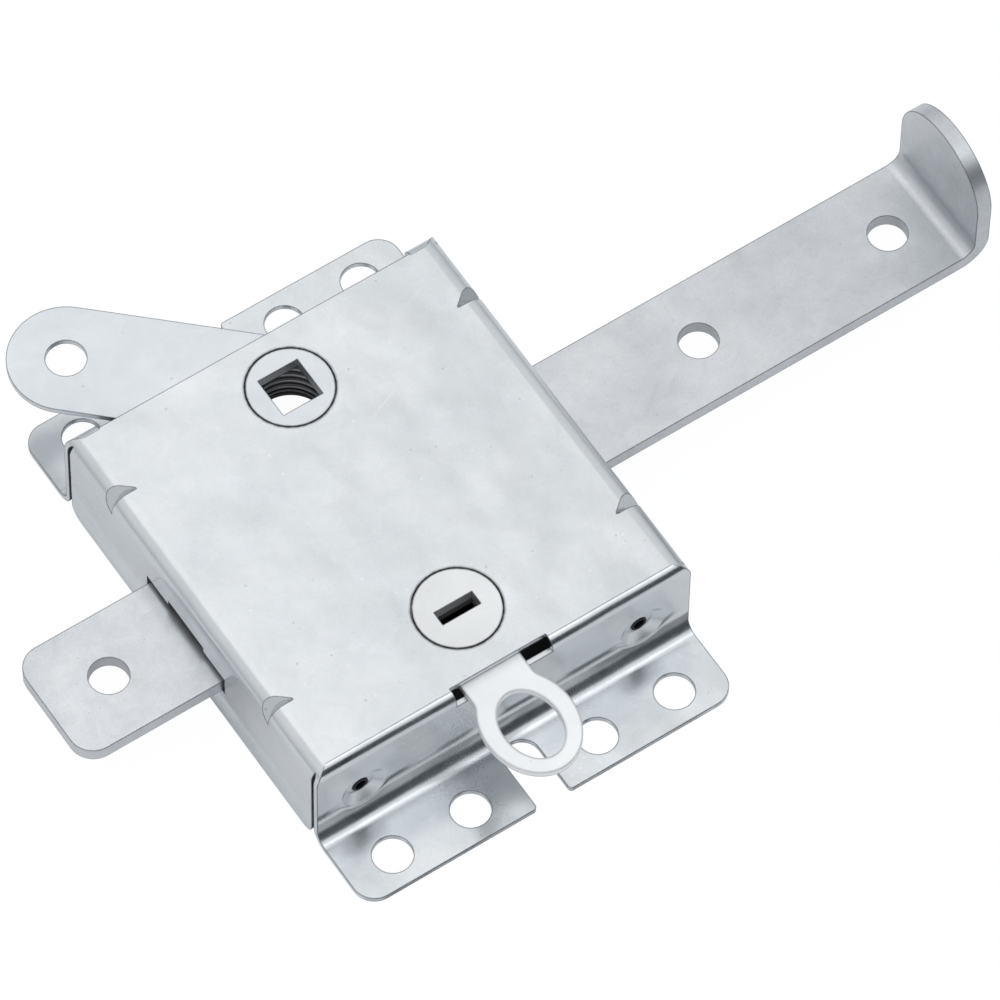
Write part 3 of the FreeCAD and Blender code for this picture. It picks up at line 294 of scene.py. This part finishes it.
# %% [markdown]
# Clouds come from one wide noise bent by its own distortion, and patches from a narrower one.
# Grain is a much finer noise. Waves are the shallow swells that rolling and folding leave in thin
# sheet. All are measured in cycles per metre of the real object, because the texture place is in
# metres.

# %% Clouds and grain of the plating
CLOUDS = {"Scale": 42.0, "Detail": 4.0, "Roughness": 0.55, "Distortion": 0.6}
GRAIN = {"Scale": 1900.0, "Detail": 3.0, "Roughness": 0.6}
PATCHES = {"Scale": 210.0, "Detail": 5.0, "Roughness": 0.7, "Distortion": 1.2}
WAVES = {"Scale": 85.0, "Detail": 1.5, "Roughness": 0.4}


def noise(tree, place, values):
    """A noise texture with its values, at a place. Returns its grey."""
    texture = add(tree, "TexNoise", values)
    join(tree, place, texture.inputs["Vector"])
    return texture.outputs["Fac"]


plating, start, end = new_group(
    "zinc_plating", [("Place", "Vector", ORIGIN)],
    [("Clouds", "Float"), ("Grain", "Float"), ("Patches", "Float"), ("Waves", "Float")])
join(plating, spread(plating, noise(plating, start["Place"], CLOUDS), 0.30, 0.70), end["Clouds"])
join(plating, spread(plating, noise(plating, start["Place"], GRAIN), 0.25, 0.75), end["Grain"])
join(plating, spread(plating, noise(plating, start["Place"], PATCHES), 0.35, 0.70), end["Patches"])
join(plating, noise(plating, start["Place"], WAVES), end["Waves"])
print(plating.name, "nodes:", len(plating.nodes))

# %% [markdown]
# A scratch is a very long, very thin fleck. A noise that is squeezed hard across one direction
# gives such flecks, and a narrow window of its values keeps only the thinnest of them. A wider
# noise breaks them up, so that they come in groups. The angle is a socket, for crossing sets.

# %% Scratches
SCRATCH_ACROSS = 900.0
SCRATCH_ALONG = 26.0
SCRATCH_LINES = {"Scale": 1.0, "Detail": 1.0, "Distortion": 0.3}
SCRATCH_BREAKS = {"Scale": 70.0, "Detail": 2.0}

scratches, start, end = new_group(
    "handling_scratches",
    [("Place", "Vector", ORIGIN), ("Angle", "Float", 0.0), ("Amount", "Float", 0.5)],
    [("Mask", "Float")])
spin = add(scratches, "VectorRotate", rotation_type="Z_AXIS")
join(scratches, start["Place"], spin.inputs["Vector"])
join(scratches, start["Angle"], spin.inputs["Angle"])
squeezed = vector_node(scratches, "MULTIPLY", spin.outputs[0],
                       (SCRATCH_ALONG, SCRATCH_ACROSS, SCRATCH_ACROSS))
thin = spread(scratches, noise(scratches, squeezed, SCRATCH_LINES), 0.72, 0.78)
groups = spread(scratches, noise(scratches, start["Place"], SCRATCH_BREAKS), 0.52, 0.66)
kept = math_node(scratches, "MULTIPLY", thin, groups)
join(scratches, math_node(scratches, "MULTIPLY", kept, start["Amount"]), end["Mask"])
print(scratches.name, "nodes:", len(scratches.nodes))

# %% [markdown]
# Specks are dots of dust, bright crystals and pin holes in the plating. Voronoi cells give one
# dot each, and the cell's own random colour decides which few of them are kept.

# %% Specks
DOTS_PER_M = 520.0
DOT_CORE, DOT_RIM = 0.10, 0.20

specks, start, end = new_group(
    "plating_specks",
    [("Place", "Vector", ORIGIN), ("Dots Per Metre", "Float", DOTS_PER_M), ("Share", "Float", 0.15)],
    [("Bright", "Float"), ("Dark", "Float")])
cells = add(specks, "TexVoronoi")
join(specks, start["Place"], cells.inputs["Vector"])
join(specks, start["Dots Per Metre"], cells.inputs["Scale"])
dot = spread(specks, cells.outputs["Distance"], DOT_CORE, DOT_RIM, 1.0, 0.0)
chance = add(specks, "SeparateColor")
join(specks, cells.outputs["Color"], chance.inputs[0])
for label, channel in (("Bright", "Red"), ("Dark", "Green")):
    chosen = math_node(specks, "LESS_THAN", chance.outputs[channel], start["Share"])
    join(specks, math_node(specks, "MULTIPLY", dot, chosen), end[label])
print(specks.name, "nodes:", len(specks.nodes))

# %% [markdown]
# Stamped edges are never knife sharp. A Bevel node rounds the shading over a few tenths of a
# millimetre, which catches the light on real sheet metal. Where it turns the normal away from
# that of the face, the group's mask is white, and there the colour is darkened as painted shade.

# %% Stamped edges, with the mask of painted edge shade
EDGE_ROUNDING = 0.32 * MM
AGREE_FACE, AGREE_EDGE = 0.999, 0.975

rounding_and_edge_shade, start, end = new_group(
    "stamped_edge_and_shade", [("Edge Shade", "Float", 0.5), ("Rounding", "Float", EDGE_ROUNDING)],
    [("Normal", "Vector"), ("Edge", "Float")])
rounded = add(rounding_and_edge_shade, "Bevel", samples=6)
join(rounding_and_edge_shade, start["Rounding"], rounded.inputs["Radius"])
flat = add(rounding_and_edge_shade, "NewGeometry").outputs["Normal"]
agree = vector_node(rounding_and_edge_shade, "DOT_PRODUCT", rounded.outputs[0], flat, "Value")
edge = spread(rounding_and_edge_shade, agree, AGREE_FACE, AGREE_EDGE)
join(rounding_and_edge_shade, rounded.outputs[0], end["Normal"])
# The mask marks where painted shade darkens the colour along the edges.
join(rounding_and_edge_shade, math_node(rounding_and_edge_shade, "MULTIPLY", edge, start["Edge Shade"]), end["Edge"])
print(rounding_and_edge_shade.name, "nodes:", len(rounding_and_edge_shade.nodes))

# %% [markdown]
# A folded wall never stands quite square: it springs back by a few degrees, and near the fold it
# swings out towards the flange over several millimetres. Wall and flange mirror each other, so
# those degrees decide how much of the room each of them shows. The group leans the shading normal
# of upright faces, more so near the fold, and leaves flat faces as they are.

# %% Spring-back of folded walls
FOLD_TOP = 10.5 * MM
FOLD_FOOT = 6.5 * MM
FOLD_LEAN = 0.60

leaning, start, end = new_group(
    "spring_back",
    [("Normal", "Vector", (0.0, 0.0, 1.0)), ("Place", "Vector", ORIGIN), ("Lean", "Float", 0.05)],
    [("Normal", "Vector")])
rise = math_node(leaning, "ABSOLUTE", axes(leaning, start["Normal"])["Z"])
upright = math_node(leaning, "SUBTRACT", 1.0, rise)
swing = spread(leaning, axes(leaning, start["Place"])["Z"], FOLD_TOP, FOLD_FOOT)
swing = math_node(leaning, "MULTIPLY", swing, FOLD_LEAN)
lean = math_node(leaning, "MULTIPLY", upright, math_node(leaning, "ADD", swing, start["Lean"]))
lift = add(leaning, "CombineXYZ")
join(leaning, lean, lift.inputs["Z"])
leant = vector_node(leaning, "ADD", start["Normal"], lift.outputs[0])
join(leaning, vector_node(leaning, "NORMALIZE", leant), end["Normal"])
print(leaning.name, "nodes:", len(leaning.nodes))

# %% [markdown]
# The punch that pressed the four dimples left soft, shallow shoulders. Inside a ball round each
# dimple the group's mask is white. It widens the rounding of the edges there and turns the
# shading normal part of the way back to that of the wall. One place serves all four dimples,
# because the distance is taken from the place's absolute values.

# %% Soft shoulders of the pressed dimples
DIMPLE_PLACE = (31.3 * MM, 43.65 * MM, 11.1 * MM)
DIMPLE_REACH = 6.2 * MM
DIMPLE_RIM = 0.85
SOFT_ROUNDING = 0.6 * MM

pressed, start, end = new_group(
    "pressed_spots",
    [("Place", "Vector", ORIGIN), ("Centre", "Vector", DIMPLE_PLACE),
     ("Reach", "Float", DIMPLE_REACH)],
    [("Mask", "Float"), ("Wall", "Vector")])
folded = vector_node(pressed, "ABSOLUTE", start["Place"])
away = vector_node(pressed, "DISTANCE", folded, start["Centre"], "Value")
part = math_node(pressed, "DIVIDE", away, start["Reach"])
join(pressed, spread(pressed, part, DIMPLE_RIM, 1.0, 1.0, 0.0), end["Mask"])
wall = add(pressed, "CombineXYZ")
join(pressed, math_node(pressed, "SIGN", axes(pressed, start["Place"])["Y"]), wall.inputs["Y"])
join(pressed, wall.outputs[0], end["Wall"])
print(pressed.name, "nodes:", len(pressed.nodes))

# %% [markdown]
# Both turning discs sit in round holes, and oil and dust gather in the gap. The dirt is a thin
# ring of a given radius round a given centre, broken up by noise. Just below the rim, the walls of
# the square hole and of the key slot are darkened as painted shade, through the same mask.

# %% Grime round the hubs, and painted shade in their holes
RING_RADIUS = 8.72 * MM
RING_WIDTH = 0.55 * MM
RING_DUST = {"Scale": 900.0, "Detail": 3.0}
WELL_EDGE, WELL_INSIDE = 0.90, 0.85
WELL_RIM, WELL_DARK = 22.35 * MM, 22.1 * MM

grime_and_hole_shade, start, end = new_group(
    "hub_grime_and_hole_shade",
    [("Place", "Vector", ORIGIN), ("Centre", "Vector", ORIGIN),
     ("Radius", "Float", RING_RADIUS), ("Width", "Float", RING_WIDTH)],
    [("Mask", "Float")])
away = vector_node(grime_and_hole_shade, "SUBTRACT", start["Place"], start["Centre"])
away = vector_node(grime_and_hole_shade, "MULTIPLY", away, (1.0, 1.0, 0.0))
away = vector_node(grime_and_hole_shade, "LENGTH", away, result="Value")
miss = math_node(grime_and_hole_shade, "ABSOLUTE", math_node(grime_and_hole_shade, "SUBTRACT", away, start["Radius"]))
ring = spread(grime_and_hole_shade, math_node(grime_and_hole_shade, "DIVIDE", miss, start["Width"]), 0.2, 1.0, 1.0, 0.0)
dust = spread(grime_and_hole_shade, noise(grime_and_hole_shade, start["Place"], RING_DUST), 0.30, 0.65, 0.35, 1.0)
inside = math_node(grime_and_hole_shade, "DIVIDE", away, start["Radius"])
inside = spread(grime_and_hole_shade, inside, WELL_EDGE, WELL_INSIDE)
deep = spread(grime_and_hole_shade, axes(grime_and_hole_shade, start["Place"])["Z"], WELL_RIM, WELL_DARK)
# Painted shade: inside the hole and below its rim, the walls are darkened.
well = math_node(grime_and_hole_shade, "MULTIPLY", inside, deep)
ring = math_node(grime_and_hole_shade, "MULTIPLY", ring, dust)
join(grime_and_hole_shade, math_node(grime_and_hole_shade, "MAXIMUM", ring, well), end["Mask"])
print(grime_and_hole_shade.name, "nodes:", len(grime_and_hole_shade.nodes))

# %% [markdown]
# The plating's tone is one grey value for each point: mostly clouds, some patches and a little
# grain. It picks the colour and the roughness together, because cloudy plating is the duller
# plating. Specks and scratches are then laid over the colour.


# %% Tone, specks and scratches of a finish
SPECK_BRIGHT = (0.90, 0.91, 0.93)
SPECK_DARK = (0.25, 0.25, 0.25)
SPECK_SHARE = 0.25
SCRATCH_ANGLES = (0.35, 1.9, 2.75)


def zinc_tone(tree, zinc, patchy, grain):
    """Clouds and patches, shared out by patchy, with a little grain."""
    patches = math_node(tree, "MULTIPLY", zinc["Patches"], patchy)
    clouds = math_node(tree, "MULTIPLY", zinc["Clouds"], 1.0 - patchy)
    fine = math_node(tree, "MULTIPLY", math_node(tree, "SUBTRACT", zinc["Grain"], 0.5), grain)
    return math_node(tree, "ADD", math_node(tree, "ADD", clouds, patches), fine, clamp=True)


def speckle(tree, place, colour, dots, share):
    """Lays bright and dark specks over a colour."""
    dotted = use_group(tree, specks, {"Place": place}, {"Dots Per Metre": dots, "Share": share})
    for label, speck in (("Bright", SPECK_BRIGHT), ("Dark", SPECK_DARK)):
        faint = math_node(tree, "MULTIPLY", dotted[label], SPECK_SHARE)
        colour = blend(tree, faint, colour, speck)
    return colour


def scratch_marks(tree, place, amount):
    """A mask with one set of scratches for each angle."""
    marks = 0.0
    for angle in SCRATCH_ANGLES:
        one_set = use_group(tree, scratches, {"Place": place}, {"Angle": angle, "Amount": amount})
        marks = math_node(tree, "MAXIMUM", marks, one_set["Mask"])
    return marks


# %% [markdown]
# Edges, folds and dimples all change the direction in which a point of the sheet faces. One
# function asks the three groups in turn and gives back that direction, with the mask of the
# painted shade along the edges. Only the case is folded and pressed, so the other parts skip
# those two steps.


# %% Facing and edges of a finish
def sheet_facing(tree, place, rounding, edge_shade_share, lean, pressing):
    """The shading normal of the sheet and the mask of its painted edge shade."""
    edge_links = {}
    if pressing:
        spot = use_group(tree, pressed, {"Place": place})
        edge_links["Rounding"] = spread(tree, spot["Mask"], 0.0, 1.0, rounding, SOFT_ROUNDING)
    edges = use_group(tree, rounding_and_edge_shade, edge_links, {"Edge Shade": edge_shade_share, "Rounding": rounding})
    facing, edge_shade_mask = edges["Normal"], edges["Edge"]
    if lean:
        leant = use_group(tree, leaning, {"Place": place, "Normal": facing}, {"Lean": lean})
        facing = leant["Normal"]
    if pressing:
        share = math_node(tree, "MULTIPLY", spot["Mask"], pressing)
        facing = blend(tree, share, facing, spot["Wall"], "VECTOR")
        facing = vector_node(tree, "NORMALIZE", facing)
        calm = math_node(tree, "SUBTRACT", 1.0, spot["Mask"])
        edge_shade_mask = math_node(tree, "MULTIPLY", edge_shade_mask, calm)
    return facing, edge_shade_mask


# %% [markdown]
# The dirt lies round the two hubs, whose places the model's own fitting points give, and painted
# shade lies in their holes. Both darken the colour and take the gloss away.


# %% Dirt and painted hole shade of a finish
# One near-black colour serves the dirt and the painted shade in the holes.
SMUT_AND_HOLE_SHADE = (0.045, 0.042, 0.036)
SMUT_ROUGHENS = 0.4

mounts = {mount["name"]: mount["pos_m"] for mount in frame["record"]["mounts"]}
hubs = [mounts["spindle_socket"], mounts["key_slot"]]


def soil_and_shade_holes(tree, place, colour, rough, dirt_and_hole_shade):
    """Lays the dirt of both hubs, with the painted shade in their holes, over a colour and a
    roughness.
    """
    for centre in hubs:
        smut_and_hole_shade = use_group(tree, grime_and_hole_shade, {"Place": place}, {"Centre": centre})["Mask"]
        smut_and_hole_shade = math_node(tree, "MULTIPLY", smut_and_hole_shade, dirt_and_hole_shade)
        colour = blend(tree, smut_and_hole_shade, colour, SMUT_AND_HOLE_SHADE)
        duller = math_node(tree, "MULTIPLY", smut_and_hole_shade, SMUT_ROUGHENS)
        rough = math_node(tree, "ADD", rough, duller, clamp=True)
    return colour, rough


print("hubs:", hubs)

# %% [markdown]
# Two bumps finish the surface: wide, very shallow swells, and the fine relief of grain and
# scratches on top of them. Bump is enough here, because neither shows at the outline.


# %% Relief of a finish
WAVE_STRENGTH, WAVE_HEIGHT = 0.4, 1.0 * MM
GRAIN_STRENGTH, GRAIN_HEIGHT = 0.05, 0.1 * MM


def bump(tree, height, facing, strength, distance):
    """One Bump node on top of a facing. Returns the new facing."""
    node = add(tree, "Bump", {"Strength": strength, "Distance": distance})
    join(tree, height, node.inputs["Height"])
    join(tree, facing, node.inputs["Normal"])
    return node.outputs[0]


def relief(tree, zinc, marks, facing):
    """Swells, and on them the grain with its scratches cut in."""
    swells = bump(tree, zinc["Waves"], facing, WAVE_STRENGTH, WAVE_HEIGHT)
    fine = math_node(tree, "SUBTRACT", zinc["Grain"], marks)
    return bump(tree, fine, swells, GRAIN_STRENGTH, GRAIN_HEIGHT)


# %% [markdown]
# One function puts all this together into plated steel. The colour goes from a darker to a
# lighter zinc tone. Then specks, scratches, painted shade along the edges, the dirt, and the
# painted shade in the hub holes are laid over it.


# %% Plated steel
STEEL = {"Metallic": 1.0, "IOR": 2.0}
SCRATCH_COLOUR = (0.86, 0.87, 0.89)
SCRATCH_SHARE = 0.5
SCRATCH_SMOOTHS = 0.1
# The near-black colour of the painted shade along the edges.
PAINTED_EDGE_SHADE = (0.03, 0.032, 0.035)


def plated_steel(name, dark, light, dull, shiny, grain=0.12, patchy=0.3, scratched=0.3,
                 speckled=0.05, dots=DOTS_PER_M, edge_shade_share=0.85, edge_shade_colour=PAINTED_EDGE_SHADE,
                 rounding=EDGE_ROUNDING, dirt_and_hole_shade=0.0, lean=0.0, pressing=0.0):
    """Bright zinc-plated sheet steel; dull and shiny are the ends of its roughness."""
    material, tree, output = new_material(name)
    skin = add(tree, "BsdfPrincipled", STEEL)
    join(tree, skin.outputs[0], output.inputs["Surface"])
    place = add(tree, "TexCoord").outputs["Object"]
    zinc = use_group(tree, plating, {"Place": place})
    tone = zinc_tone(tree, zinc, patchy, grain)
    marks = scratch_marks(tree, place, scratched)
    facing, edge_shade_mask = sheet_facing(tree, place, rounding, edge_shade_share, lean, pressing)
    colour = speckle(tree, place, blend(tree, tone, dark, light), dots, speckled)
    colour = blend(tree, math_node(tree, "MULTIPLY", marks, SCRATCH_SHARE), colour, SCRATCH_COLOUR)
    # Painted shade: the edges are darkened along the bevel's mask.
    colour = blend(tree, edge_shade_mask, colour, edge_shade_colour)
    rough = spread(tree, tone, 0.0, 1.0, dull, shiny)
    if dirt_and_hole_shade:
        colour, rough = soil_and_shade_holes(tree, place, colour, rough, dirt_and_hole_shade)
    smoother = math_node(tree, "MULTIPLY", marks, SCRATCH_SMOOTHS)
    rough = math_node(tree, "SUBTRACT", rough, smoother, clamp=True)
    join(tree, colour, skin.inputs["Base Color"])
    join(tree, rough, skin.inputs["Roughness"])
    join(tree, relief(tree, zinc, marks, facing), skin.inputs["Normal"])
    return material


# %% [markdown]
# Each part of the lock came out of its own plating bath and has its own tone. The case is pale
# and bluish with soft clouds, the bolt is greyer and grainy, and the ring is almost white and
# matte. The key disc is a little paler than the case, and duller.

# %% Finishes of the outer parts
# The ring's grey painted edge shade, and its wider rounding.
RING_EDGE_SHADE = (0.62, 0.63, 0.64)
RING_ROUNDING = 0.7 * MM

finishes = {
    "case_plate": plated_steel("zinc_case", (0.63, 0.655, 0.675), (0.725, 0.745, 0.765), 0.29, 0.19,
                               grain=0.3, dirt_and_hole_shade=0.7, lean=0.06, pressing=0.3),
    "bolt_plate": plated_steel("zinc_bolt", (0.54, 0.56, 0.58), (0.70, 0.715, 0.735), 0.42, 0.30,
                               grain=0.4, patchy=0.35, speckled=0.12, dots=900.0),
    "lever_plate": plated_steel("zinc_lever", (0.66, 0.69, 0.72), (0.76, 0.785, 0.81), 0.46, 0.36,
                                grain=0.2, dirt_and_hole_shade=0.7),
    "ring_plate": plated_steel("zinc_ring", (0.88, 0.89, 0.895), (0.94, 0.945, 0.95), 0.60, 0.50,
                               grain=0.15, scratched=0.15, edge_shade_colour=RING_EDGE_SHADE,
                               rounding=RING_ROUNDING),
    "cam_plate": plated_steel("zinc_cam", (0.74, 0.745, 0.75), (0.83, 0.84, 0.845), 0.50, 0.40,
                              grain=0.25, dirt_and_hole_shade=0.8),
}
print("outer finishes:", len(finishes))

# %% [markdown]
# The parts deep inside are given an almost black colour, as painted shade for the little light
# that reaches them. The spring, which shows through the square hole, is dark oiled wire, darkened
# further as painted shade. The rivets are plain grey steel.

# %% Finishes of the inner parts, with painted shade on the inner plate and the spring
# Painted shade: the inner plate is near black.
finishes["inner_plate"] = plated_steel(
    "zinc_inner_painted_shade", (0.03, 0.032, 0.035), (0.06, 0.063, 0.066), 0.50, 0.40)
finishes["rivet_steel"] = plated_steel(
    "zinc_rivet", (0.30, 0.31, 0.32), (0.42, 0.43, 0.45), 0.45, 0.35)
# Dark oiled wire, darkened further as painted shade.
finishes["spring_steel"] = plated_steel(
    "oiled_wire_and_painted_shade", (0.13, 0.13, 0.14), (0.24, 0.24, 0.25), 0.42, 0.30, scratched=0.0, edge_shade_share=0.0)
print("all finishes:", len(finishes))

# %% [markdown]
# The record names a material slot for each node, so the finishes are dealt out by that name and
# no shape is touched.

# %% Deal out the finishes
slot_of = {part["node"]: part["material_slot"] for part in frame["record"]["subparts"]}
for name, thing in nodes.items():
    for slot in thing.material_slots:
        slot.material = finishes[slot_of[name]]
print("nodes finished:", len(slot_of))
